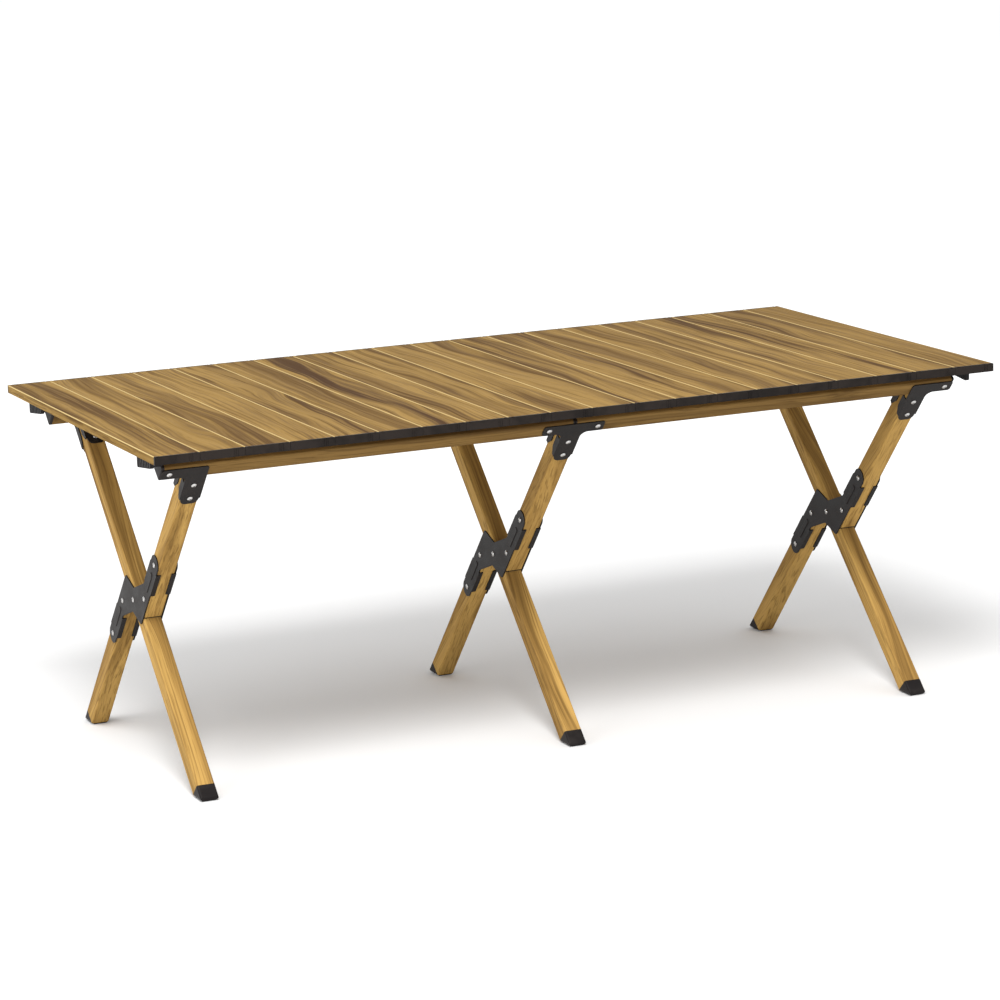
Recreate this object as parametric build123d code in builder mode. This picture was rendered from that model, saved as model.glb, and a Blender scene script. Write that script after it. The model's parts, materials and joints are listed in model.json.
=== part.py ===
from build123d import *
import os
from math import cos, radians, sin

# A folding picnic table: a roll-up slatted top on a frame of two tube frames that cross at three hubs.
# The table's long side runs along X, its front is at -Y and it stands on Z = 0.
# The front frame carries the front rail, and its legs run down to the rear feet.
# The rear frame carries the rear rail, and its legs run down to the front feet.
# Both turn about one line of pivot pins, the hub line. All sizes are in millimetres.

# ---------------------------------------------------------------- driving dimensions

TABLE_HEIGHT = 472
TOP_DEPTH = 622  # front to rear, over the slats' end caps
HUB_HEIGHT = 222  # hub line above the floor
REST_GAP = 0.3  # between the slats and the rails they rest on

SLAT_COUNT = 20
SLAT_PITCH = 60
SLAT_SEAM = 0.4
SLAT_THICKNESS = 11
SLAT_WALL = 1.2
SLAT_CELLS = 3
SLAT_EDGE_RADIUS = 0.8

SLAT_CAP_THICKNESS = 3
SLAT_PLUG_DEPTH = 12
PLUG_CLEARANCE = 0.1  # round every plug inside its slat or tube
SLAT_CAP_GROOVES = 3
SLAT_CAP_GROOVE_WIDTH = 0.6
SLAT_CAP_GROOVE_PITCH = 2.4
SLAT_CAP_GROOVE_OFFSET = 18  # from the slat's middle to the middle groove
SLAT_CAP_NOTCH = 3  # width of the notch at each upper corner
SLAT_CAP_NOTCH_DROP = 1.2
SLAT_CAP_NOTCH_INSET = 5  # from the slat's edge to the notch's middle

CLIP_LENGTH = 52  # along the slat
CLIP_INSET = 10  # from the slat's outer edge to the clip's lip
CLIP_LIP_THICKNESS = 5
CLIP_DEEP_DROP = 19  # lip's lower edge below the slat, at the end where it hangs lowest
CLIP_SHALLOW_DROP = 13
CLIP_BODY_DROP = 11
CLIP_BODY_WIDTH = 16  # from the lip's outer face inwards
CLIP_CORNER = 3
CLIP_GROOVES = 7
CLIP_GROOVE_PITCH = 6.5
CLIP_GROOVE_WIDTH = 2.5
CLIP_GROOVE_DEPTH = 1.5
CLIP_GROOVE_TOP = 4  # below the slat

TUBE = 25  # square tube of the legs and rails
TUBE_CORNER = 2.5
TUBE_WALL = 1.5
FRONT_TILT = 42.1  # of the front frame's legs from vertical, in degrees
REAR_TILT = 44.6  # of the rear frame's legs from vertical, in degrees
HALF_LEG_OFFSET = 27.2  # from the hub line to the middle of each half leg
OPEN_STOP_GAP = 0.3  # between a half leg's inner end cap and the straight leg it stops on
STOP_CAP_THICKNESS = 2
STOP_CAP_PLUG_END = 28  # from the hub line, along the half leg
PIVOT_SIDE_GAP = 0.2  # between the straight leg and each hub plate
LEG_SPACING = 522
RAIL_END = 572  # end of the rails over their caps, from the middle
RAIL_CAP_THICKNESS = 4
RAIL_INNER_CAP_THICKNESS = 2.5
RAIL_CAP_RADIUS = 1.5
RAIL_SEAM = 1
RAIL_PLUG_DEPTH = 14
LEG_TOP_GAP = 1  # between a leg's upper end and its rail

FOOT_THIN_SIDE = 1.8  # height of a foot cap on its inner side
FOOT_PLUG_DEPTH = 18
FOOT_TOE_RADIUS = 4  # on the outer edge that meets the floor
FOOT_HEEL_RADIUS = 1.5
FOOT_SIDE_RADIUS = 6

PLATE = 1.5  # sheet thickness of hub plates and brackets
HUB_ARM_REACH = 126
HUB_EAR = (3, 39.7)
HUB_NOTCH = (15.3, 8.1)
HUB_SHOULDER = 56  # where an arm leaves the middle of the plate
HUB_TIP_RADIUS = 12
HUB_EAR_RADIUS = 4.5
HUB_NOTCH_RADIUS = 3
HUB_SHOULDER_RADIUS = 6
HUB_LIP_START = 62
HUB_LIP_END = 106
HUB_LIP_WIDTH = 5
HUB_RIB_LENGTH = 40
HUB_RIB_WIDTH = 8
HUB_RIB_HEIGHT = 0.8
HUB_RIB_RADIUS = 0.7
HUB_RIB_MIDDLE = 74
HUB_INNER_RIVET = 38.1
HUB_ARM_RIVET = 112

BRACKET_RAIL_HALF = 9  # half width of the part along the rail
BRACKET_TAB_END = 66
BRACKET_TAB_SHOULDER = 48
BRACKET_TAB_TOP = 14  # half width of the tab under the rail
BRACKET_TAB_BOTTOM = 10.5  # half width of the tab at its end
BRACKET_END_REACH = 49
BRACKET_MIDDLE_REACH = 44
BRACKET_CORNER = 4
BRACKET_CROOK_RADIUS = 10
BRACKET_TAB_CORNER = 8
BRACKET_LIP_START = 22  # below the rail's axis
BRACKET_LIP_TAPER = 44
BRACKET_LIP_END = 56
BRACKET_LIP_WIDTH = 9
BRACKET_LIP_TIP = 3
END_RAIL_RIVET = 38  # rail rivet to leg axis at the end legs
MIDDLE_RAIL_RIVET = 35
LEG_RIVETS = (28, 55)  # below the rail's axis

RIVET_RADIUS = 2.4
RIVET_HEAD_RADIUS = 3.6
RIVET_HEAD_RIM = 0.5
RIVET_HEAD_RISE = 1.5
RIVET_HOLE_RADIUS = 1.1  # of the hole left in the middle of each head
RIVET_HOLE_DEPTH = 1.5
PIVOT_PIN_RADIUS = 3
PIVOT_CLEARANCE = 0.05

# ---------------------------------------------------------------- worked-out places

TOP_UNDERSIDE = TABLE_HEIGHT - SLAT_THICKNESS
SLAT_WIDTH = SLAT_PITCH - SLAT_SEAM
SLAT_LENGTH = TOP_DEPTH - 2 * SLAT_CAP_THICKNESS
FIRST_SLAT_X = -SLAT_PITCH * (SLAT_COUNT - 1) / 2
LEG_STATIONS = (-LEG_SPACING, 0, LEG_SPACING)
STRAIGHT_LEG_WIDTH = TUBE - 2 * PIVOT_SIDE_GAP
TUBE_BORE = TUBE - 2 * TUBE_WALL
TUBE_BORE_CORNER = TUBE_CORNER - TUBE_WALL


def tilted_frame(tilt, toward_rear):
    """Plane of a frame: X along the table, Y up along its legs, Z out of its face towards the front."""
    lean = radians(tilt)
    face = (0, -cos(lean), sin(lean) * toward_rear)
    return Plane(origin=(0, 0, HUB_HEIGHT), x_dir=(1, 0, 0), z_dir=face)


def rail_rise(tilt):
    """Height of a tilted rail's upper corner above its axis."""
    lean = radians(tilt)
    return (TUBE / 2 - TUBE_CORNER) * (cos(lean) + sin(lean)) + TUBE_CORNER


FRONT_FRAME = tilted_frame(FRONT_TILT, toward_rear=-1)
REAR_FRAME = tilted_frame(REAR_TILT, toward_rear=1)

FRONT_RAIL_DROP = HALF_LEG_OFFSET * sin(radians(FRONT_TILT))
FRONT_RAIL_HEIGHT = TOP_UNDERSIDE - REST_GAP - rail_rise(FRONT_TILT)
REAR_RAIL_HEIGHT = TOP_UNDERSIDE - REST_GAP - rail_rise(REAR_TILT)
FRONT_RAIL_ALONG = (FRONT_RAIL_HEIGHT - HUB_HEIGHT + FRONT_RAIL_DROP) / cos(radians(FRONT_TILT))
REAR_RAIL_ALONG = (REAR_RAIL_HEIGHT - HUB_HEIGHT) / cos(radians(REAR_TILT))


def leg_drop(frame, across, height):
    """Distance down a frame's legs from the hub line to a height above the floor."""
    return (HUB_HEIGHT + across * frame.z_dir.Z - height) / frame.y_dir.Z


FRONT_RAIL_Y = FRONT_FRAME.from_local_coords((0, FRONT_RAIL_ALONG, HALF_LEG_OFFSET)).Y
REAR_RAIL_Y = REAR_FRAME.from_local_coords((0, REAR_RAIL_ALONG, 0)).Y
FRONT_FOOT_ALONG = leg_drop(REAR_FRAME, -TUBE / 2, FOOT_THIN_SIDE)
REAR_FOOT_ALONG = leg_drop(FRONT_FRAME, TUBE / 2 - HALF_LEG_OFFSET, FOOT_THIN_SIDE)


def across_leg(frame, x, along, across):
    """Plane square across a leg, facing up the leg."""
    return Plane(origin=frame.from_local_coords((x, along, across)), x_dir=frame.x_dir, z_dir=frame.y_dir)


def across_rail(frame, x, along, across):
    """Plane square across a rail, facing +X, with its own X up the legs."""
    return Plane(origin=frame.from_local_coords((x, along, across)), x_dir=frame.y_dir, z_dir=frame.x_dir)


def save(builder, name):
    """Label a finished sub-part and write it to its file."""
    builder.part.label = name
    export_step(builder.part, f"parts/{name}.step")


# ---------------------------------------------------------------- top: slats, end caps, clips


def slat_middle(index):
    return FIRST_SLAT_X + index * SLAT_PITCH


def build_slat(index):
    """Hollow slat with inner webs, running from front to rear."""
    start = Plane(
        origin=(slat_middle(index), -SLAT_LENGTH / 2, TABLE_HEIGHT - SLAT_THICKNESS / 2),
        x_dir=(1, 0, 0),
        z_dir=(0, 1, 0),
    )
    cell = (SLAT_WIDTH - (SLAT_CELLS + 1) * SLAT_WALL) / SLAT_CELLS
    with BuildPart() as slat:
        with BuildSketch(start):
            RectangleRounded(SLAT_WIDTH, SLAT_THICKNESS, SLAT_EDGE_RADIUS)
            with GridLocations(cell + SLAT_WALL, 0, SLAT_CELLS, 1):
                Rectangle(cell, SLAT_THICKNESS - 2 * SLAT_WALL, mode=Mode.SUBTRACT)
        extrude(amount=SLAT_LENGTH)
    save(slat, f"slat_{index + 1:02d}")


def build_slat_caps(index):
    """The two end caps of a slat, each with a plug for every cell of the slat."""
    cell = (SLAT_WIDTH - (SLAT_CELLS + 1) * SLAT_WALL) / SLAT_CELLS
    plug_width = cell - 2 * PLUG_CLEARANCE
    plug_height = SLAT_THICKNESS - 2 * SLAT_WALL - 2 * PLUG_CLEARANCE
    notch_x = SLAT_WIDTH / 2 - SLAT_CAP_NOTCH_INSET
    middle_z = TABLE_HEIGHT - SLAT_THICKNESS / 2
    with BuildPart() as caps:
        for side in (-1, 1):
            inner_face = Plane(
                origin=(slat_middle(index), side * SLAT_LENGTH / 2, middle_z),
                x_dir=(1, 0, 0),
                z_dir=(0, side, 0),
            )
            outer_face = inner_face.offset(SLAT_CAP_THICKNESS)
            top_toward = side * (-SLAT_THICKNESS / 2)
            with BuildSketch(inner_face):
                RectangleRounded(SLAT_WIDTH, SLAT_THICKNESS, SLAT_EDGE_RADIUS)
            extrude(amount=SLAT_CAP_THICKNESS)
            with BuildSketch(inner_face):
                with GridLocations(cell + SLAT_WALL, 0, SLAT_CELLS, 1):
                    Rectangle(plug_width, plug_height)
            extrude(amount=-SLAT_PLUG_DEPTH)
            with BuildSketch(outer_face):
                with Locations((-notch_x, top_toward), (notch_x, top_toward)):
                    Rectangle(SLAT_CAP_NOTCH, 2 * SLAT_CAP_NOTCH_DROP)
            extrude(amount=-SLAT_CAP_THICKNESS / 2, mode=Mode.SUBTRACT)
            with BuildSketch(outer_face):
                with Locations((SLAT_CAP_GROOVE_OFFSET, 0)):
                    with GridLocations(SLAT_CAP_GROOVE_PITCH, 0, SLAT_CAP_GROOVES, 1):
                        Rectangle(SLAT_CAP_GROOVE_WIDTH, SLAT_THICKNESS)
            extrude(amount=-SLAT_CAP_GROOVE_WIDTH, mode=Mode.SUBTRACT)
    save(caps, f"end_caps_{index + 1:02d}")


def build_top_clips(side, name):
    """Two clips under an end slat, each a body with a grooved lip; the right ones are turned half round."""
    outer = side * (SLAT_COUNT * SLAT_PITCH / 2 - CLIP_INSET)
    end = CLIP_LENGTH / 2
    rear_drop, front_drop = sorted((CLIP_DEEP_DROP, CLIP_SHALLOW_DROP), reverse=side < 0)
    lower_corners = [(end, -rear_drop), (-end, -front_drop)]
    with BuildPart() as clips:
        for rail_y in (FRONT_RAIL_Y, REAR_RAIL_Y):
            outer_face = Plane(origin=(outer, rail_y, TOP_UNDERSIDE), x_dir=(0, 1, 0), z_dir=(1, 0, 0))
            with BuildSketch(outer_face):
                with Locations((0, -CLIP_BODY_DROP / 2)):
                    Rectangle(CLIP_LENGTH, CLIP_BODY_DROP)
            extrude(amount=-side * CLIP_BODY_WIDTH)
            with BuildSketch(outer_face) as lip:
                with BuildLine():
                    Polyline((-end, 0), (end, 0), *lower_corners, close=True)
                make_face()
                for corner in lower_corners:
                    fillet(lip.vertices().sort_by_distance(corner)[0], CLIP_CORNER)
            extrude(amount=-side * CLIP_LIP_THICKNESS)
            with BuildSketch(outer_face):
                with Locations((0, -CLIP_GROOVE_TOP - CLIP_DEEP_DROP / 2)):
                    with GridLocations(CLIP_GROOVE_PITCH, 0, CLIP_GROOVES, 1):
                        Rectangle(CLIP_GROOVE_WIDTH, CLIP_DEEP_DROP)
            extrude(amount=-side * CLIP_GROOVE_DEPTH, mode=Mode.SUBTRACT)
    save(clips, name)


# ---------------------------------------------------------------- rails and their caps


def build_rail(frame, along, across, side, name):
    """Half a rail: a square tube from near the middle out to its end cap."""
    tube_start = RAIL_SEAM / 2 + RAIL_INNER_CAP_THICKNESS
    tube_end = RAIL_END - RAIL_CAP_THICKNESS
    middle = side * (tube_start + tube_end) / 2
    rivet_x = (MIDDLE_RAIL_RIVET, LEG_SPACING + END_RAIL_RIVET)
    with BuildPart() as rail:
        with BuildSketch(across_rail(frame, middle, along, across)):
            RectangleRounded(TUBE, TUBE, TUBE_CORNER)
            RectangleRounded(TUBE_BORE, TUBE_BORE, TUBE_BORE_CORNER, mode=Mode.SUBTRACT)
        extrude(amount=(tube_end - tube_start) / 2, both=True)
        with BuildSketch(frame.offset(across)):
            with Locations(*[(side * x, along) for x in rivet_x]):
                Circle(RIVET_RADIUS)
        extrude(amount=TUBE, both=True, mode=Mode.SUBTRACT)
    save(rail, name)


def build_rail_caps(frame, along, across, name):
    """Plugs in the four tube ends of a rail, thick at its ends and thin on each side of the seam."""
    plug = TUBE_BORE - 2 * PLUG_CLEARANCE
    tube_ends = [
        (RAIL_END - RAIL_CAP_THICKNESS, RAIL_CAP_THICKNESS, -RAIL_PLUG_DEPTH),
        (RAIL_SEAM / 2 + RAIL_INNER_CAP_THICKNESS, -RAIL_INNER_CAP_THICKNESS, RAIL_PLUG_DEPTH),
    ]
    with BuildPart() as caps:
        for side in (-1, 1):
            for tube_end, head, shank in tube_ends:
                end_face = across_rail(frame, side * tube_end, along, across)
                with BuildSketch(end_face):
                    RectangleRounded(TUBE, TUBE, TUBE_CORNER)
                extrude(amount=side * head)
                with BuildSketch(end_face):
                    RectangleRounded(plug, plug, TUBE_BORE_CORNER)
                extrude(amount=side * shank)
        outer_faces = caps.faces().filter_by(Axis.X).sort_by(Axis.X)
        fillet(outer_faces[0].edges() + outer_faces[-1].edges(), RAIL_CAP_RADIUS)
        with BuildSketch(frame.offset(across)):
            with Locations(*[(side * (LEG_SPACING + END_RAIL_RIVET), along) for side in (-1, 1)]):
                Circle(RIVET_RADIUS)
        extrude(amount=TUBE, both=True, mode=Mode.SUBTRACT)
    save(caps, name)


# ---------------------------------------------------------------- legs and feet


def leg_rivets(rail_along):
    """Places on a frame's plane of the rivets that hold its legs to their brackets."""
    return [(x, rail_along - drop) for x in LEG_STATIONS for drop in LEG_RIVETS]


def build_half_legs(upper, name):
    """Half of each crossing front-frame leg, cut where it stops against the straight leg."""
    side = 1 if upper else -1
    across = side * HALF_LEG_OFFSET
    length = FRONT_RAIL_ALONG - TUBE / 2 - LEG_TOP_GAP if upper else REAR_FOOT_ALONG
    cut = REAR_FRAME.offset(side * (TUBE / 2 + OPEN_STOP_GAP + STOP_CAP_THICKNESS))
    with BuildPart() as legs:
        for x in LEG_STATIONS:
            with BuildSketch(across_leg(FRONT_FRAME, x, 0, across)):
                RectangleRounded(TUBE, TUBE, TUBE_CORNER)
                RectangleRounded(TUBE_BORE, TUBE_BORE, TUBE_BORE_CORNER, mode=Mode.SUBTRACT)
            extrude(amount=side * length)
        split(bisect_by=cut, keep=Keep.TOP if upper else Keep.BOTTOM)
        with BuildSketch(across_rail(FRONT_FRAME, 0, 0, 0)):
            with Locations((side * HUB_INNER_RIVET, across), (side * HUB_ARM_RIVET, across)):
                Circle(RIVET_RADIUS)
        extrude(amount=LEG_SPACING + TUBE, both=True, mode=Mode.SUBTRACT)
        if upper:
            with BuildSketch(FRONT_FRAME.offset(across)):
                with Locations(*leg_rivets(FRONT_RAIL_ALONG)):
                    Circle(RIVET_RADIUS)
            extrude(amount=TUBE, both=True, mode=Mode.SUBTRACT)
    save(legs, name)


def build_stop_caps(name):
    """Plugs in the inner ends of the half legs, which meet the straight legs when the table is open."""
    plug = TUBE_BORE - 2 * PLUG_CLEARANCE
    stop_face = TUBE / 2 + OPEN_STOP_GAP
    leg_starts = [
        (side, across_leg(FRONT_FRAME, x, 0, side * HALF_LEG_OFFSET))
        for x in LEG_STATIONS
        for side in (-1, 1)
    ]
    with BuildPart() as caps:
        for side, start in leg_starts:
            with BuildSketch(start):
                RectangleRounded(TUBE, TUBE, TUBE_CORNER)
            extrude(amount=side * STOP_CAP_PLUG_END)
        with BuildSketch(REAR_FRAME):
            Rectangle(2 * (LEG_SPACING + TUBE), 2 * HUB_ARM_REACH)
        extrude(amount=stop_face + STOP_CAP_THICKNESS, both=True, mode=Mode.INTERSECT)
        for side, start in leg_starts:
            with BuildSketch(start):
                RectangleRounded(plug, plug, TUBE_BORE_CORNER)
            extrude(amount=side * STOP_CAP_PLUG_END)
        with BuildSketch(REAR_FRAME):
            Rectangle(2 * (LEG_SPACING + TUBE), 2 * HUB_ARM_REACH)
        extrude(amount=stop_face, both=True, mode=Mode.SUBTRACT)
    save(caps, name)


def build_straight_legs(name):
    """One-piece rear-frame legs from the rear rail down to the front feet, pivoted at the hub line."""
    length = REAR_RAIL_ALONG - TUBE / 2 - LEG_TOP_GAP + FRONT_FOOT_ALONG
    bore_width = STRAIGHT_LEG_WIDTH - 2 * TUBE_WALL
    with BuildPart() as legs:
        for x in LEG_STATIONS:
            with BuildSketch(across_leg(REAR_FRAME, x, -FRONT_FOOT_ALONG, 0)):
                RectangleRounded(STRAIGHT_LEG_WIDTH, TUBE, TUBE_CORNER)
                RectangleRounded(bore_width, TUBE_BORE, TUBE_BORE_CORNER, mode=Mode.SUBTRACT)
            extrude(amount=length)
        with BuildSketch(across_rail(REAR_FRAME, 0, 0, 0)):
            Circle(PIVOT_PIN_RADIUS + PIVOT_CLEARANCE)
        extrude(amount=LEG_SPACING + TUBE, both=True, mode=Mode.SUBTRACT)
        with BuildSketch(REAR_FRAME):
            with Locations(*leg_rivets(REAR_RAIL_ALONG)):
                Circle(RIVET_RADIUS)
        extrude(amount=TUBE, both=True, mode=Mode.SUBTRACT)
    save(legs, name)


def build_feet(frame, along, across, name):
    """Foot caps: a wedge level with the floor below each leg, and a plug up into its tube."""
    plug = STRAIGHT_LEG_WIDTH - 2 * TUBE_WALL - 2 * PLUG_CLEARANCE
    inward = -1 if frame.z_dir.Z > 0 else 1
    inner = across + inward * TUBE / 2
    outer = across - inward * TUBE / 2
    heel = (-leg_drop(frame, inner, 0), inner)
    toe = (-leg_drop(frame, outer, 0), outer)
    with BuildPart() as feet:
        for x in LEG_STATIONS:
            with BuildSketch(across_leg(frame, x, -along, across)):
                RectangleRounded(TUBE, TUBE, TUBE_CORNER)
            extrude(amount=-2 * TUBE)
        with BuildSketch(across_rail(frame, 0, 0, 0)) as wedge:
            with BuildLine():
                Polyline((-along, inner), heel, toe, (-along, outer), close=True)
            make_face()
            fillet(wedge.vertices().sort_by_distance(toe)[0], FOOT_TOE_RADIUS)
            fillet(wedge.vertices().sort_by_distance(heel)[0], FOOT_HEEL_RADIUS)
        extrude(amount=LEG_SPACING + TUBE, both=True, mode=Mode.INTERSECT)
        with BuildSketch(Plane.XZ):
            with Locations(*[(x, TUBE) for x in LEG_STATIONS]):
                RectangleRounded(TUBE, 2 * TUBE, FOOT_SIDE_RADIUS)
        extrude(amount=TOP_DEPTH, both=True, mode=Mode.INTERSECT)
        for x in LEG_STATIONS:
            with BuildSketch(across_leg(frame, x, -along, across)):
                RectangleRounded(plug, plug, TUBE_BORE_CORNER)
            extrude(amount=FOOT_PLUG_DEPTH)
    save(feet, name)


# ---------------------------------------------------------------- hub plates and brackets


def hub_plate_corners():
    """Corners of a hub plate with their radii: ear, notch and arm, then the same turned half round."""
    near_face = HALF_LEG_OFFSET - TUBE / 2
    far_face = HALF_LEG_OFFSET + TUBE / 2
    half = [
        (HUB_EAR[0], -HUB_EAR[1], HUB_EAR_RADIUS),
        (HUB_NOTCH[0], -HUB_NOTCH[1], HUB_NOTCH_RADIUS),
        (HUB_SHOULDER, near_face, HUB_SHOULDER_RADIUS),
        (HUB_ARM_REACH, near_face, HUB_TIP_RADIUS),
        (HUB_ARM_REACH, far_face, HUB_TIP_RADIUS),
    ]
    return half + [(-along, -across, radius) for along, across, radius in half]


def build_hub_plates():
    """A pair of plates at each crossing, riveted to the half legs, with lips over two of their faces."""
    corners = hub_plate_corners()
    lip_middle = (HUB_LIP_START + HUB_LIP_END) / 2
    lip_levels = (HALF_LEG_OFFSET + TUBE / 2 + PLATE / 2, HALF_LEG_OFFSET - TUBE / 2 - PLATE / 2)
    lip_places = [(turn * lip_middle, turn * level) for level in lip_levels for turn in (-1, 1)]
    with BuildPart() as plates:
        for x in LEG_STATIONS:
            for side in (-1, 1):
                inner_face = across_rail(FRONT_FRAME, x + side * TUBE / 2, 0, 0)
                outer_face = across_rail(FRONT_FRAME, x + side * (TUBE / 2 + PLATE), 0, 0)
                with BuildSketch(inner_face) as outline:
                    with BuildLine():
                        Polyline(*[(along, across) for along, across, _ in corners], close=True)
                    make_face()
                    for along, across, radius in corners:
                        fillet(outline.vertices().sort_by_distance((along, across))[0], radius)
                    Circle(PIVOT_PIN_RADIUS, mode=Mode.SUBTRACT)
                    with Locations(*[
                        (turn * along, turn * HALF_LEG_OFFSET)
                        for along in (HUB_INNER_RIVET, HUB_ARM_RIVET)
                        for turn in (-1, 1)
                    ]):
                        Circle(RIVET_RADIUS, mode=Mode.SUBTRACT)
                extrude(amount=side * PLATE)
                with BuildSketch(outer_face):
                    with Locations(*lip_places):
                        Rectangle(HUB_LIP_END - HUB_LIP_START, PLATE)
                extrude(amount=-side * (PLATE + HUB_LIP_WIDTH))
                with BuildSketch(outer_face):
                    with Locations(*[(turn * HUB_RIB_MIDDLE, turn * HALF_LEG_OFFSET) for turn in (-1, 1)]):
                        SlotOverall(HUB_RIB_LENGTH, HUB_RIB_WIDTH)
                extrude(amount=side * HUB_RIB_HEIGHT)
                flat_faces = plates.faces(Select.LAST).filter_by(Axis.X)
                rib_tops = flat_faces.sort_by(Axis.X, reverse=side > 0)[0:2]
                fillet(rib_tops.edges(), HUB_RIB_RADIUS)
    save(plates, "hub_plates")


def bracket_corners(side):
    """Corners of a bracket about its leg and rail axes, with their radii; side 0 is the middle bracket."""
    tab = [
        (BRACKET_TAB_TOP, -BRACKET_TAB_SHOULDER, BRACKET_CORNER),
        (BRACKET_TAB_BOTTOM, -BRACKET_TAB_END, BRACKET_TAB_CORNER),
        (-BRACKET_TAB_BOTTOM, -BRACKET_TAB_END, BRACKET_TAB_CORNER),
        (-BRACKET_TAB_TOP, -BRACKET_TAB_SHOULDER, BRACKET_CORNER),
    ]
    if side == 0:
        reach = BRACKET_MIDDLE_REACH
        return [
            (-BRACKET_TAB_TOP, -BRACKET_RAIL_HALF, BRACKET_CROOK_RADIUS),
            (-reach, -BRACKET_RAIL_HALF, BRACKET_CORNER),
            (-reach, BRACKET_RAIL_HALF, BRACKET_CORNER),
            (reach, BRACKET_RAIL_HALF, BRACKET_CORNER),
            (reach, -BRACKET_RAIL_HALF, BRACKET_CORNER),
            (BRACKET_TAB_TOP, -BRACKET_RAIL_HALF, BRACKET_CROOK_RADIUS),
        ] + tab
    corners = [
        (-BRACKET_TAB_TOP, BRACKET_RAIL_HALF, BRACKET_CORNER),
        (BRACKET_END_REACH, BRACKET_RAIL_HALF, BRACKET_CORNER),
        (BRACKET_END_REACH, -BRACKET_RAIL_HALF, BRACKET_CORNER),
        (BRACKET_TAB_TOP, -BRACKET_RAIL_HALF, BRACKET_CROOK_RADIUS),
    ] + tab
    return [(side * x, y, radius) for x, y, radius in corners]


def bracket_lip_corners(face):
    """Corners of the lip that a bracket folds over each side of its leg, seen from that side."""
    outer = face * (TUBE / 2 + PLATE)
    deep = face * (TUBE / 2 - BRACKET_LIP_WIDTH)
    tip = face * (TUBE / 2 - BRACKET_LIP_TIP)
    return [
        (-BRACKET_LIP_START, outer),
        (-BRACKET_LIP_END, outer),
        (-BRACKET_LIP_END, tip),
        (-BRACKET_LIP_TAPER, deep),
        (-BRACKET_LIP_START, deep),
    ]


def rail_rivets(side):
    """Rail rivets of a bracket, from its leg's axis."""
    if side == 0:
        return [(-MIDDLE_RAIL_RIVET, 0), (MIDDLE_RAIL_RIVET, 0)]
    return [(side * END_RAIL_RIVET, 0)]


def build_brackets(frame, along, across, name):
    """Two brackets at each leg's top, one on either face, with lips folded over the leg's sides."""
    with BuildPart() as brackets:
        for side in (-1, 0, 1):
            for face in (-1, 1):
                level = across + face * TUBE / 2
                start = Plane(
                    origin=frame.from_local_coords((side * LEG_SPACING, along, level)),
                    x_dir=frame.x_dir,
                    z_dir=frame.z_dir,
                )
                corners = bracket_corners(side)
                with BuildSketch(start) as outline:
                    with BuildLine():
                        Polyline(*[(x, y) for x, y, _ in corners], close=True)
                    make_face()
                    for x, y, radius in corners:
                        fillet(outline.vertices().sort_by_distance((x, y))[0], radius)
                    with Locations(*rail_rivets(side), *[(0, -drop) for drop in LEG_RIVETS]):
                        Circle(RIVET_RADIUS, mode=Mode.SUBTRACT)
                extrude(amount=face * PLATE)
                for edge in (-1, 1):
                    leg_side = side * LEG_SPACING + edge * TUBE / 2
                    with BuildSketch(across_rail(frame, leg_side, along, across)):
                        with BuildLine():
                            Polyline(*bracket_lip_corners(face), close=True)
                        make_face()
                    extrude(amount=edge * PLATE)
    save(brackets, name)


# ---------------------------------------------------------------- rivets and pivot pins


def bracket_rivet_places(frame, along, across):
    """Middle plane of every rivet through a frame's brackets."""
    return [
        Plane(
            origin=frame.from_local_coords((side * LEG_SPACING + x, along + y, across)),
            x_dir=frame.x_dir,
            z_dir=frame.z_dir,
        )
        for side in (-1, 0, 1)
        for x, y in rail_rivets(side) + [(0, -drop) for drop in LEG_RIVETS]
    ]


def hub_rivet_places():
    """Middle plane of every rivet through the hub plates and half legs."""
    return [
        across_rail(FRONT_FRAME, x, turn * along, turn * HALF_LEG_OFFSET)
        for x in LEG_STATIONS
        for along in (HUB_INNER_RIVET, HUB_ARM_RIVET)
        for turn in (-1, 1)
    ]


def build_rivets(places, radius, name):
    """Double-headed rivets through a tube and a plate on each side of it."""
    half_grip = TUBE / 2 + PLATE
    rim = half_grip + RIVET_HEAD_RIM
    crown = rim + RIVET_HEAD_RISE
    with BuildPart() as rivets:
        for place in places:
            section = Plane(origin=place.origin, x_dir=place.x_dir, z_dir=-place.y_dir)
            with BuildSketch(section):
                with BuildLine():
                    Polyline(
                        (RIVET_HEAD_RADIUS, -rim),
                        (RIVET_HEAD_RADIUS, -half_grip),
                        (radius, -half_grip),
                        (radius, half_grip),
                        (RIVET_HEAD_RADIUS, half_grip),
                        (RIVET_HEAD_RADIUS, rim),
                    )
                    TangentArc((0, crown), (RIVET_HEAD_RADIUS, rim), tangent=(1, 0))
                    Line((0, crown), (0, -crown))
                    TangentArc((0, -crown), (RIVET_HEAD_RADIUS, -rim), tangent=(1, 0))
                make_face()
                with Locations((0, crown), (0, -crown)):
                    Rectangle(2 * RIVET_HOLE_RADIUS, 2 * RIVET_HOLE_DEPTH, mode=Mode.SUBTRACT)
            revolve(axis=Axis(place.origin, place.z_dir))
    save(rivets, name)


# ---------------------------------------------------------------- the whole table


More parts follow.
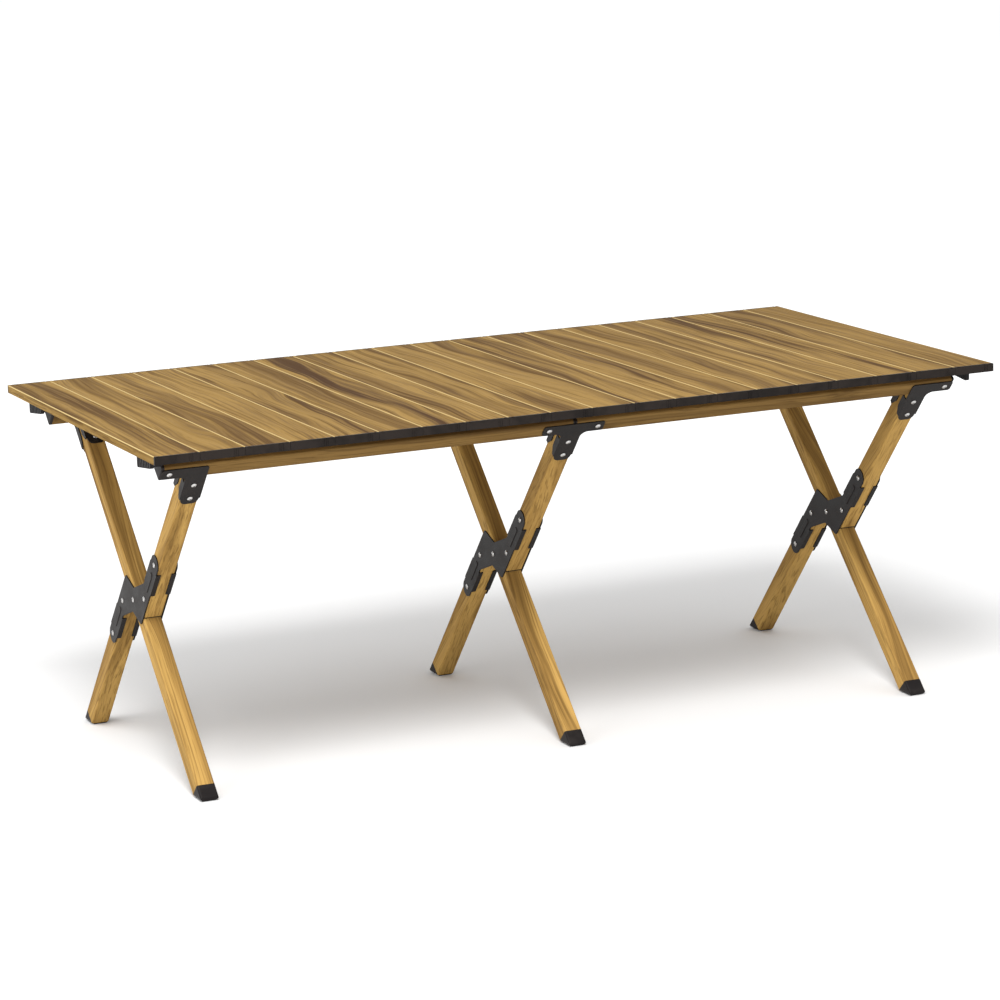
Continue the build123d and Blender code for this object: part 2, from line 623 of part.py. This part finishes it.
def build_table():
    os.makedirs("parts", exist_ok=True)
    front = (FRONT_FRAME, FRONT_RAIL_ALONG, HALF_LEG_OFFSET)
    rear = (REAR_FRAME, REAR_RAIL_ALONG, 0)

    for index in range(SLAT_COUNT):
        build_slat(index)
        build_slat_caps(index)
    build_top_clips(-1, "top_clips_left")
    build_top_clips(1, "top_clips_right")

    for side, word in ((-1, "left"), (1, "right")):
        build_rail(*front, side, f"front_rail_{word}")
        build_rail(*rear, side, f"rear_rail_{word}")
    build_rail_caps(*front, "front_rail_caps")
    build_rail_caps(*rear, "rear_rail_caps")

    build_half_legs(True, "upper_half_legs")
    build_half_legs(False, "lower_half_legs")
    build_stop_caps("half_leg_end_caps")
    build_straight_legs("straight_legs")
    build_feet(REAR_FRAME, FRONT_FOOT_ALONG, 0, "front_feet")
    build_feet(FRONT_FRAME, REAR_FOOT_ALONG, -HALF_LEG_OFFSET, "rear_feet")

    build_hub_plates()
    build_brackets(*front, "front_brackets")
    build_brackets(*rear, "rear_brackets")

    hub_pivots = [across_rail(FRONT_FRAME, x, 0, 0) for x in LEG_STATIONS]
    build_rivets(hub_rivet_places() + bracket_rivet_places(*front), RIVET_RADIUS, "front_frame_rivets")
    build_rivets(bracket_rivet_places(*rear), RIVET_RADIUS, "rear_frame_rivets")
    build_rivets(hub_pivots, PIVOT_PIN_RADIUS, "hub_pivot_pins")


build_table()
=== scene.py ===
import json
import math

import bpy
from mathutils import Matrix, Vector


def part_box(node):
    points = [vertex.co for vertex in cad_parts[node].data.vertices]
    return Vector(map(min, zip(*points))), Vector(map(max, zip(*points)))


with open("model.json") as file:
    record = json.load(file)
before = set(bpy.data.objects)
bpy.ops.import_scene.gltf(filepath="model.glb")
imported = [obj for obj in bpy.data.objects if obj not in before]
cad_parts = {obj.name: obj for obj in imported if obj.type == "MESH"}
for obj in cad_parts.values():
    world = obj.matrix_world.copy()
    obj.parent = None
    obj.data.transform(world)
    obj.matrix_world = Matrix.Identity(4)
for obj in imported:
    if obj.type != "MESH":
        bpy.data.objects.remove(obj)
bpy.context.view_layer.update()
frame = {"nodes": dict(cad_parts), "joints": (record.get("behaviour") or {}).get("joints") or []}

# The folding picnic table is whole in the frame, so every piece here is a CAD node. This script gives each
# one its material, and adds the floor, the lights and the camera. Lengths are in metres.

SIDES = ("left", "right")
RAILS = [f"{rail}_rail_{side}" for rail in ("front", "rear") for side in SIDES]
CLIPS = [f"top_clips_{side}" for side in SIDES]
TUBE_CAPS = ("front_rail_caps", "rear_rail_caps", "half_leg_end_caps", "front_feet", "rear_feet")
SLATS = sorted(name for name in frame["nodes"] if name.startswith("slat_"))
SLAT_CAPS = sorted(name for name in frame["nodes"] if name.startswith("end_caps_"))

# ---------------------------------------------------------------- places read from the frame


def centre(node):
    low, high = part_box(node)
    return (low + high) / 2


def joint_place(name):
    return next(Vector(joint["pos_m"]) for joint in frame["joints"] if joint["name"] == name)


def lean(start, end):
    """Angle from vertical of the line from start up to end, seen along X, positive towards the rear."""
    run = end - start
    return math.atan2(run.y, run.z)


HUB = joint_place("frame_fold")
REAR_FRAME_LEAN = lean(HUB, centre("rear_rail_left"))
FRONT_FRAME_LEAN = lean(centre("rear_feet"), centre("front_rail_left"))

# ---------------------------------------------------------------- node helpers


class Graph:
    """A material's node tree, with one call for each kind of node that the materials below share."""

    def __init__(self, name):
        self.material = bpy.data.materials.new(name)
        self.material.use_nodes = True
        self.nodes = self.material.node_tree.nodes
        self.links = self.material.node_tree.links
        self.shader = self.nodes["Principled BSDF"]

    def add(self, kind, **settings):
        node = self.nodes.new(kind)
        for key, value in settings.items():
            setattr(node, key, value)
        return node

    def put(self, socket, value):
        """Links value to the socket, or sets it there if it is a plain number or colour."""
        if isinstance(value, bpy.types.NodeSocket):
            self.links.new(value, socket)
        else:
            socket.default_value = value

    def math(self, operation, a, b):
        node = self.add("ShaderNodeMath", operation=operation)
        self.put(node.inputs[0], a)
        self.put(node.inputs[1], b)
        return node.outputs[0]

    def vector_math(self, operation, a, b):
        node = self.add("ShaderNodeVectorMath", operation=operation)
        self.put(node.inputs[0], a)
        self.put(node.inputs[1], b)
        return node.outputs[0]

    def position(self, spin=(0, 0, 0)):
        """Rest position in the object, turned by spin."""
        turn = self.add("ShaderNodeMapping", vector_type="POINT")
        self.put(turn.inputs["Vector"], self.add("ShaderNodeTexCoord").outputs["Object"])
        turn.inputs["Rotation"].default_value = spin
        return turn.outputs[0]

    def noise(self, vector, scale=1.0, detail=2.0, roughness=0.5):
        node = self.add("ShaderNodeTexNoise")
        self.put(node.inputs["Vector"], vector)
        node.inputs["Scale"].default_value = scale
        node.inputs["Detail"].default_value = detail
        node.inputs["Roughness"].default_value = roughness
        return node.outputs["Fac"]

    def drawn_noise(self, vector, scale, **settings):
        """Noise drawn out one way: scale is its cycles per metre along X, Y and Z."""
        return self.noise(self.vector_math("MULTIPLY", vector, scale), **settings)

    def ramp(self, value, low, high, start=0.0, end=1.0):
        """Maps value from low..high smoothly onto start..end."""
        node = self.add("ShaderNodeMapRange", interpolation_type="SMOOTHSTEP")
        self.put(node.inputs["Value"], value)
        node.inputs["From Min"].default_value = low
        node.inputs["From Max"].default_value = high
        node.inputs["To Min"].default_value = start
        node.inputs["To Max"].default_value = end
        return node.outputs[0]

    def mix(self, factor, a, b):
        node = self.add("ShaderNodeMix", data_type="RGBA")
        self.put(node.inputs["Factor"], factor)
        self.put(node.inputs["A"], a)
        self.put(node.inputs["B"], b)
        return node.outputs["Result"]

    def veil(self, color, tone, mask, share):
        """Lays tone over color where mask is high, at share of its full strength."""
        return self.mix(self.math("MULTIPLY", mask, share), color, tone)

    def bump(self, height, distance, strength, under=None):
        node = self.add("ShaderNodeBump")
        self.put(node.inputs["Height"], height)
        node.inputs["Distance"].default_value = distance
        node.inputs["Strength"].default_value = strength
        if under is not None:
            self.put(node.inputs["Normal"], under)
        return node.outputs[0]

    def rounded(self, radius):
        """Normal that rounds sharp edges a little, for pressed and moulded pieces."""
        node = self.add("ShaderNodeBevel", samples=4)
        node.inputs["Radius"].default_value = radius
        return node.outputs[0]

    def finish(self, color, roughness, normal=None, **constants):
        self.put(self.shader.inputs["Base Color"], color)
        self.put(self.shader.inputs["Roughness"], roughness)
        if normal is not None:
            self.put(self.shader.inputs["Normal"], normal)
        for socket, value in constants.items():
            self.shader.inputs[socket.replace("_", " ")].default_value = value
        return self.material


def dress(material, *names):
    """Gives CAD nodes this material on every face."""
    for name in names:
        mesh = frame["nodes"][name].data
        mesh.materials.clear()
        mesh.materials.append(material)


# In the materials, LEVELS are the two noise values between which a layer goes from none to full, SHARE is
# its strength there, SCALE is in cycles per metre, and BUMP is a height in metres and its strength.

# ---------------------------------------------------------------- wood-grain film

# the light wood, the bands in it and the dark figure
TOP_TONES = ((0.258, 0.157, 0.044, 1), (0.158, 0.090, 0.023, 1), (0.054, 0.025, 0.008, 1))
LEG_TONES = ((0.450, 0.275, 0.082, 1), (0.300, 0.175, 0.050, 1), (0.080, 0.040, 0.013, 1))
# the rails' tones are darker than the legs' although it is the same film: painted shade, standing for the
# shade under the top's overhang
RAIL_SHADED_TONES = ((0.200, 0.118, 0.038, 1), (0.128, 0.074, 0.024, 1), (0.050, 0.025, 0.009, 1))

TOP_DARKNESS = 1.0  # strength of the dark figure
LEG_DARKNESS = 0.4
RAIL_DARKNESS = 0.5
PLAIN_DARKNESS = 0.35  # share of that strength on the plainest node
NODE_SPREAD = (0.15, 0.85)  # random numbers of the plainest node and the most figured one

# turns that bring Y along each grain
QUARTER_TURN = math.pi / 2
ALONG_X = (0, 0, QUARTER_TURN)
ALONG_Y = (0, 0, 0)
ALONG_REAR_FRAME = (REAR_FRAME_LEAN - QUARTER_TURN, 0, 0)
ALONG_FRONT_FRAME = (FRONT_FRAME_LEAN - QUARTER_TURN, 0, 0)

# scales across, along and through the grain
DRIFT_SCALE = (9.0, 2.2, 9.0)
BAND_SCALE = (42.0, 1.0, 42.0)
STREAK_SCALE = (170.0, 2.6, 170.0)
HAIR_SCALE = (420.0, 5.0, 420.0)
PORE_SCALE = (760.0, 26.0, 760.0)
PATCH_SCALE = (5.0, 3.0, 5.0)
GRAIN_STEP = (3.7, 11.3, 5.9)  # spread of the random step that gives each node its own grain
DRIFT_REACH = 0.075  # width that the grain wanders within
NOISE_MIDDLE = 0.5

BAND_LEVELS = (0.40, 0.58)
HEART_BAND_LEVELS = (0.50, 0.60)
HEART_STREAK_LEVELS = (0.40, 0.54)
VEIN_LEVELS = (0.54, 0.64)
VEIN_SHARE = 0.75
HAIR_LEVELS = (0.50, 0.66)
HAIR_SHARE = 0.5
PORE_LEVELS = (0.54, 0.74)
PORE_SHARE = 0.35
PATCH_LEVELS = (0.35, 0.65)
PATCH_SHARE = 0.22

# painted highlight: a pale line on the upper long edges of the slats, for the light those rounded edges
# catch
SEAM_HIGHLIGHT_TONE = (0.46, 0.34, 0.15, 1)
SEAM_HIGHLIGHT_WIDTH = 0.0014  # of the painted highlight line along each upper edge of a slat
SEAM_HIGHLIGHT_CORE = 0.0007  # the part of that width with the full tone

FILM_ROUGHNESS_LEVELS = (0.3, 0.8)
FILM_ROUGHNESS = (0.46, 0.60)
FILM_GLOSS = 0.015
PORE_BUMP = (0.00006, 0.6)
STREAK_BUMP = (0.0001, 0.25)


def wandering_grain(graph, spin, random):
    """Position with Y along the grain, moved by a random step for each node and bent slowly sideways."""
    step = graph.add("ShaderNodeCombineXYZ")
    for axis, spread in enumerate(GRAIN_STEP):
        graph.put(step.inputs[axis], graph.math("MULTIPLY", random, spread))
    place = graph.vector_math("ADD", graph.position(spin), step.outputs[0])
    drift = graph.math("SUBTRACT", graph.drawn_noise(place, DRIFT_SCALE), NOISE_MIDDLE)
    sideways = graph.add("ShaderNodeCombineXYZ")
    graph.put(sideways.inputs["X"], graph.math("MULTIPLY", drift, DRIFT_REACH))
    return graph.vector_math("ADD", place, sideways.outputs[0])


def wood_film(name, spin, tones, darkness, edge_highlight=None):
    """Satin printed film with wandering bands, dark heartwood, veins, hair lines and short pores."""
    graph = Graph(name)
    light, middle, dark = tones
    random = graph.add("ShaderNodeObjectInfo").outputs["Random"]
    figure = graph.math("MULTIPLY", graph.ramp(random, *NODE_SPREAD, PLAIN_DARKNESS, 1.0), darkness)
    grain = wandering_grain(graph, spin, random)
    bands = graph.drawn_noise(grain, BAND_SCALE, detail=3.0, roughness=0.55)
    streaks = graph.drawn_noise(grain, STREAK_SCALE, detail=4.0, roughness=0.6)
    hairs = graph.drawn_noise(grain, HAIR_SCALE)
    pores = graph.drawn_noise(grain, PORE_SCALE, roughness=0.6)
    patches = graph.drawn_noise(grain, PATCH_SCALE)

    heart_bands = graph.ramp(bands, *HEART_BAND_LEVELS)
    heart = graph.math("MULTIPLY", heart_bands, graph.ramp(streaks, *HEART_STREAK_LEVELS))
    vein_share = graph.math("MULTIPLY", figure, VEIN_SHARE)
    color = graph.mix(graph.ramp(bands, *BAND_LEVELS), light, middle)
    color = graph.veil(color, dark, heart, figure)
    color = graph.veil(color, dark, graph.ramp(streaks, *VEIN_LEVELS), vein_share)
    color = graph.veil(color, dark, graph.ramp(hairs, *HAIR_LEVELS), HAIR_SHARE)
    color = graph.veil(color, dark, graph.ramp(pores, *PORE_LEVELS), PORE_SHARE)
    color = graph.veil(color, middle, graph.ramp(patches, *PATCH_LEVELS), PATCH_SHARE)
    # painted highlight along the slats' upper edges, where given
    if edge_highlight is not None:
        color = graph.mix(edge_highlight(graph), color, SEAM_HIGHLIGHT_TONE)

    roughness = graph.ramp(streaks, *FILM_ROUGHNESS_LEVELS, *FILM_ROUGHNESS)
    normal = graph.bump(streaks, *STREAK_BUMP, under=graph.bump(pores, *PORE_BUMP))
    return graph.finish(color, roughness, normal, Specular_IOR_Level=FILM_GLOSS)


def slat_edge_highlight(graph):
    """Mask of the two upper long edges of every slat, where a painted highlight stands for the light that
    the rounded edges catch.
    """
    low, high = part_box(SLATS[0])
    pitch = (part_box(SLATS[1])[0] - low).x
    place = graph.add("ShaderNodeSeparateXYZ")
    graph.put(place.inputs[0], graph.add("ShaderNodeTexCoord").outputs["Object"])
    from_seam = graph.math("PINGPONG", graph.math("SUBTRACT", place.outputs["X"], low.x), pitch / 2)
    beside_seam = graph.ramp(from_seam, SEAM_HIGHLIGHT_CORE, SEAM_HIGHLIGHT_WIDTH, 1.0, 0.0)
    near_top = graph.ramp(place.outputs["Z"], high.z - SEAM_HIGHLIGHT_WIDTH, high.z - SEAM_HIGHLIGHT_CORE)
    return graph.math("MULTIPLY", beside_seam, near_top)


slat_film = wood_film("slat_film", ALONG_Y, TOP_TONES, TOP_DARKNESS, slat_edge_highlight)
# the rails' film carries painted shade in its darker tones
shaded_rail_film = wood_film("shaded_rail_film", ALONG_X, RAIL_SHADED_TONES, RAIL_DARKNESS)
rear_frame_film = wood_film("rear_frame_film", ALONG_REAR_FRAME, LEG_TONES, LEG_DARKNESS)
front_frame_film = wood_film("front_frame_film", ALONG_FRONT_FRAME, LEG_TONES, LEG_DARKNESS)

dress(slat_film, *SLATS)
dress(shaded_rail_film, *RAILS)
dress(rear_frame_film, "straight_legs")
dress(front_frame_film, "upper_half_legs", "lower_half_legs")

# ---------------------------------------------------------------- black plastic

EDGE_RADIUS = 0.0005  # of moulded and pressed edges

# the plain tone and the scuffed one
SLAT_CAP_TONES = ((0.007, 0.005, 0.004, 1), (0.015, 0.011, 0.009, 1))
TUBE_CAP_TONES = ((0.008, 0.006, 0.006, 1), (0.018, 0.015, 0.014, 1))
CLIP_TONES = ((0.007, 0.006, 0.006, 1), (0.016, 0.014, 0.014, 1))

SLAT_CAP_ROUGHNESS = (0.40, 0.52)
TUBE_CAP_ROUGHNESS = (0.44, 0.56)
CLIP_ROUGHNESS = (0.44, 0.56)
PLASTIC_GLOSS = 0.12
PLASTIC_TONE_LEVELS = (0.35, 0.65)
PLASTIC_ROUGHNESS_LEVELS = (0.3, 0.7)
PLASTIC_CLOUD_SCALE = 24.0
SPARK_SCALE = 1400.0
SPARK_BUMP = (0.00008, 0.5)
SCUFF_SCALE = (260.0, 78.0, 260.0)
SCUFF_LEVELS = (0.6, 0.75)
SCUFF_SHARE = 0.35


def moulded_plastic(name, tones, roughness):
    """Moulded plastic with a fine spark-eroded grain and slightly paler scuffs."""
    graph = Graph(name)
    plain, scuffed = tones
    place = graph.position()
    sparks = graph.noise(place, SPARK_SCALE)
    cloud = graph.noise(place, PLASTIC_CLOUD_SCALE, detail=4.0, roughness=0.6)
    scuffs = graph.drawn_noise(place, SCUFF_SCALE, detail=3.0, roughness=0.7)
    tone = graph.mix(graph.ramp(cloud, *PLASTIC_TONE_LEVELS), plain, scuffed)
    tone = graph.veil(tone, scuffed, graph.ramp(scuffs, *SCUFF_LEVELS), SCUFF_SHARE)
    rough = graph.ramp(cloud, *PLASTIC_ROUGHNESS_LEVELS, *roughness)
    normal = graph.bump(sparks, *SPARK_BUMP, under=graph.rounded(EDGE_RADIUS))
    return graph.finish(tone, rough, normal, Specular_IOR_Level=PLASTIC_GLOSS)


dress(moulded_plastic("end_cap_plastic", SLAT_CAP_TONES, SLAT_CAP_ROUGHNESS), *SLAT_CAPS)
dress(moulded_plastic("tube_cap_plastic", TUBE_CAP_TONES, TUBE_CAP_ROUGHNESS), *TUBE_CAPS)
dress(moulded_plastic("clip_plastic", CLIP_TONES, CLIP_ROUGHNESS), *CLIPS)

# ---------------------------------------------------------------- powder-coated sheet and rivets

METAL_TONE_LEVELS = (0.35, 0.7)
METAL_ROUGHNESS_LEVELS = (0.3, 0.75)

PAINT_TONE = (0.008, 0.0065, 0.006, 1)
RUBBED_TONE = (0.016, 0.013, 0.012, 1)
PAINT_ROUGHNESS = (0.40, 0.54)
PAINT_GLOSS = 0.12
PAINT_CLOUD_SCALE = 30.0
PEEL_SCALE = 900.0
PEEL_BUMP = (0.00012, 0.5)
SPECK_TONE = (0.10, 0.09, 0.08, 1)
SPECK_SCALE = 2600.0
SPECK_LEVELS = (0.68, 0.78)
SPECK_SHARE = 0.4

STEEL_TONE = (0.58, 0.57, 0.56, 1)
BLOOM_TONE = (0.40, 0.39, 0.38, 1)
STEEL_ROUGHNESS = (0.2, 0.38)
BLOOM_SCALE = 320.0
SCRATCH_SCALE = (1500.0, 13500.0, 1500.0)
SCRATCH_BUMP = (0.00004, 0.4)


def powder_coat():
    """Dark satin powder coat with orange peel, faint rubbed patches and fine pale specks."""
    graph = Graph("plate_paint")
    place = graph.position()
    peel = graph.noise(place, PEEL_SCALE, detail=1.0)
    cloud = graph.noise(place, PAINT_CLOUD_SCALE, detail=4.0, roughness=0.65)
    specks = graph.noise(place, SPECK_SCALE, detail=0.0)
    tone = graph.mix(graph.ramp(cloud, *METAL_TONE_LEVELS), PAINT_TONE, RUBBED_TONE)
    tone = graph.veil(tone, SPECK_TONE, graph.ramp(specks, *SPECK_LEVELS), SPECK_SHARE)
    roughness = graph.ramp(cloud, *METAL_ROUGHNESS_LEVELS, *PAINT_ROUGHNESS)
    normal = graph.bump(peel, *PEEL_BUMP, under=graph.rounded(EDGE_RADIUS))
    return graph.finish(tone, roughness, normal, Specular_IOR_Level=PAINT_GLOSS)


def rivet_steel():
    """Zinc-plated steel with fine scratches and a dull bloom."""
    graph = Graph("rivet_steel")
    place = graph.position()
    bloom = graph.noise(place, BLOOM_SCALE, detail=3.0, roughness=0.6)
    scratches = graph.drawn_noise(place, SCRATCH_SCALE, detail=1.0)
    tone = graph.mix(graph.ramp(bloom, *METAL_TONE_LEVELS), STEEL_TONE, BLOOM_TONE)
    roughness = graph.ramp(bloom, *METAL_ROUGHNESS_LEVELS, *STEEL_ROUGHNESS)
    return graph.finish(tone, roughness, graph.bump(scratches, *SCRATCH_BUMP), Metallic=1.0)


dress(powder_coat(), "hub_plates", "front_brackets", "rear_brackets")
dress(rivet_steel(), "front_frame_rivets", "rear_frame_rivets", "hub_pivot_pins")

# ---------------------------------------------------------------- floor and light

FLOOR_HALF = 40.0
FLOOR_LEVEL = -0.0002  # just under the feet
FLOOR_NEAR = (0.72, 0.72, 0.72, 1)
FLOOR_FAR = (1.0, 1.0, 1.0, 1)
FLOOR_PALING = (0.8, 2.6)  # distances from the origin between which the floor goes to white
FLOOR_ROUGHNESS = 0.9
WORLD_WHITE = (1, 1, 1, 1)

# each soft box's place, the length of its sides and its power in watts
KEY_LIGHT = ((-1.6, -2.8, 4.2), 1.8, 260)
FILL_LIGHT = ((-4.0, -1.6, 1.4), 2.6, 60)


def floor_paint():
    """Matt off-white under the table, paling to white around it."""
    graph = Graph("floor")
    away = graph.add("ShaderNodeVectorMath", operation="LENGTH")
    graph.put(away.inputs[0], graph.add("ShaderNodeTexCoord").outputs["Object"])
    tone = graph.mix(graph.ramp(away.outputs["Value"], *FLOOR_PALING), FLOOR_NEAR, FLOOR_FAR)
    return graph.finish(tone, FLOOR_ROUGHNESS, Specular_IOR_Level=0.0)


def lay_floor():
    corners = ((-1, -1), (1, -1), (1, 1), (-1, 1))
    points = [(x * FLOOR_HALF, y * FLOOR_HALF, FLOOR_LEVEL) for x, y in corners]
    mesh = bpy.data.meshes.new("floor")
    mesh.from_pydata(points, [], [(0, 1, 2, 3)])
    mesh.materials.append(floor_paint())
    floor = bpy.data.objects.new("floor", mesh)
    bpy.context.scene.collection.objects.link(floor)


def light_world():
    world = bpy.data.worlds.new("studio")
    world.use_nodes = True
    background = world.node_tree.nodes["Background"]
    background.inputs["Color"].default_value = WORLD_WHITE
    background.inputs["Strength"].default_value = 1.0
    bpy.context.scene.world = world


def soft_box(name, place, size, power):
    """A square area light at place, aimed at the table's middle."""
    light = bpy.data.lights.new(name, "AREA")
    light.energy = power
    light.size = size
    lamp = bpy.data.objects.new(name, light)
    bpy.context.scene.collection.objects.link(lamp)
    lamp.location = place
    lamp.rotation_euler = (HUB - Vector(place)).to_track_quat("-Z", "Y").to_euler()


lay_floor()
light_world()
soft_box("key", *KEY_LIGHT)
soft_box("fill", *FILL_LIGHT)

# ---------------------------------------------------------------- camera

CAMERA_AZIMUTH = math.radians(23.58)  # from the table's front towards its left end
CAMERA_ELEVATION = math.radians(11.54)
CAMERA_ROLL = math.radians(-1.92)
CAMERA_DISTANCE = 5.315
CAMERA_AIM = Vector((0.004, 0.011, 0.294))
CAMERA_LENS = 138.7  # in millimetres, and so is the sensor's width
CAMERA_SENSOR = 36


def aim_camera():
    forward = Vector((
        math.sin(CAMERA_AZIMUTH) * math.cos(CAMERA_ELEVATION),
        math.cos(CAMERA_AZIMUTH) * math.cos(CAMERA_ELEVATION),
        -math.sin(CAMERA_ELEVATION),
    ))
    level_right = Vector((math.cos(CAMERA_AZIMUTH), -math.sin(CAMERA_AZIMUTH), 0))
    level_down = forward.cross(level_right)
    right = math.cos(CAMERA_ROLL) * level_right - math.sin(CAMERA_ROLL) * level_down
    down = math.sin(CAMERA_ROLL) * level_right + math.cos(CAMERA_ROLL) * level_down
    camera = bpy.data.objects.new("camera", bpy.data.cameras.new("camera"))
    bpy.context.scene.collection.objects.link(camera)
    camera.data.sensor_width = CAMERA_SENSOR
    camera.data.lens = CAMERA_LENS
    turn = Matrix((right, -down, -forward)).transposed()
    camera.matrix_world = Matrix.Translation(CAMERA_AIM - CAMERA_DISTANCE * forward) @ turn.to_4x4()
    bpy.context.scene.camera = camera


aim_camera()
bpy.context.scene.view_settings.view_transform = "Standard"
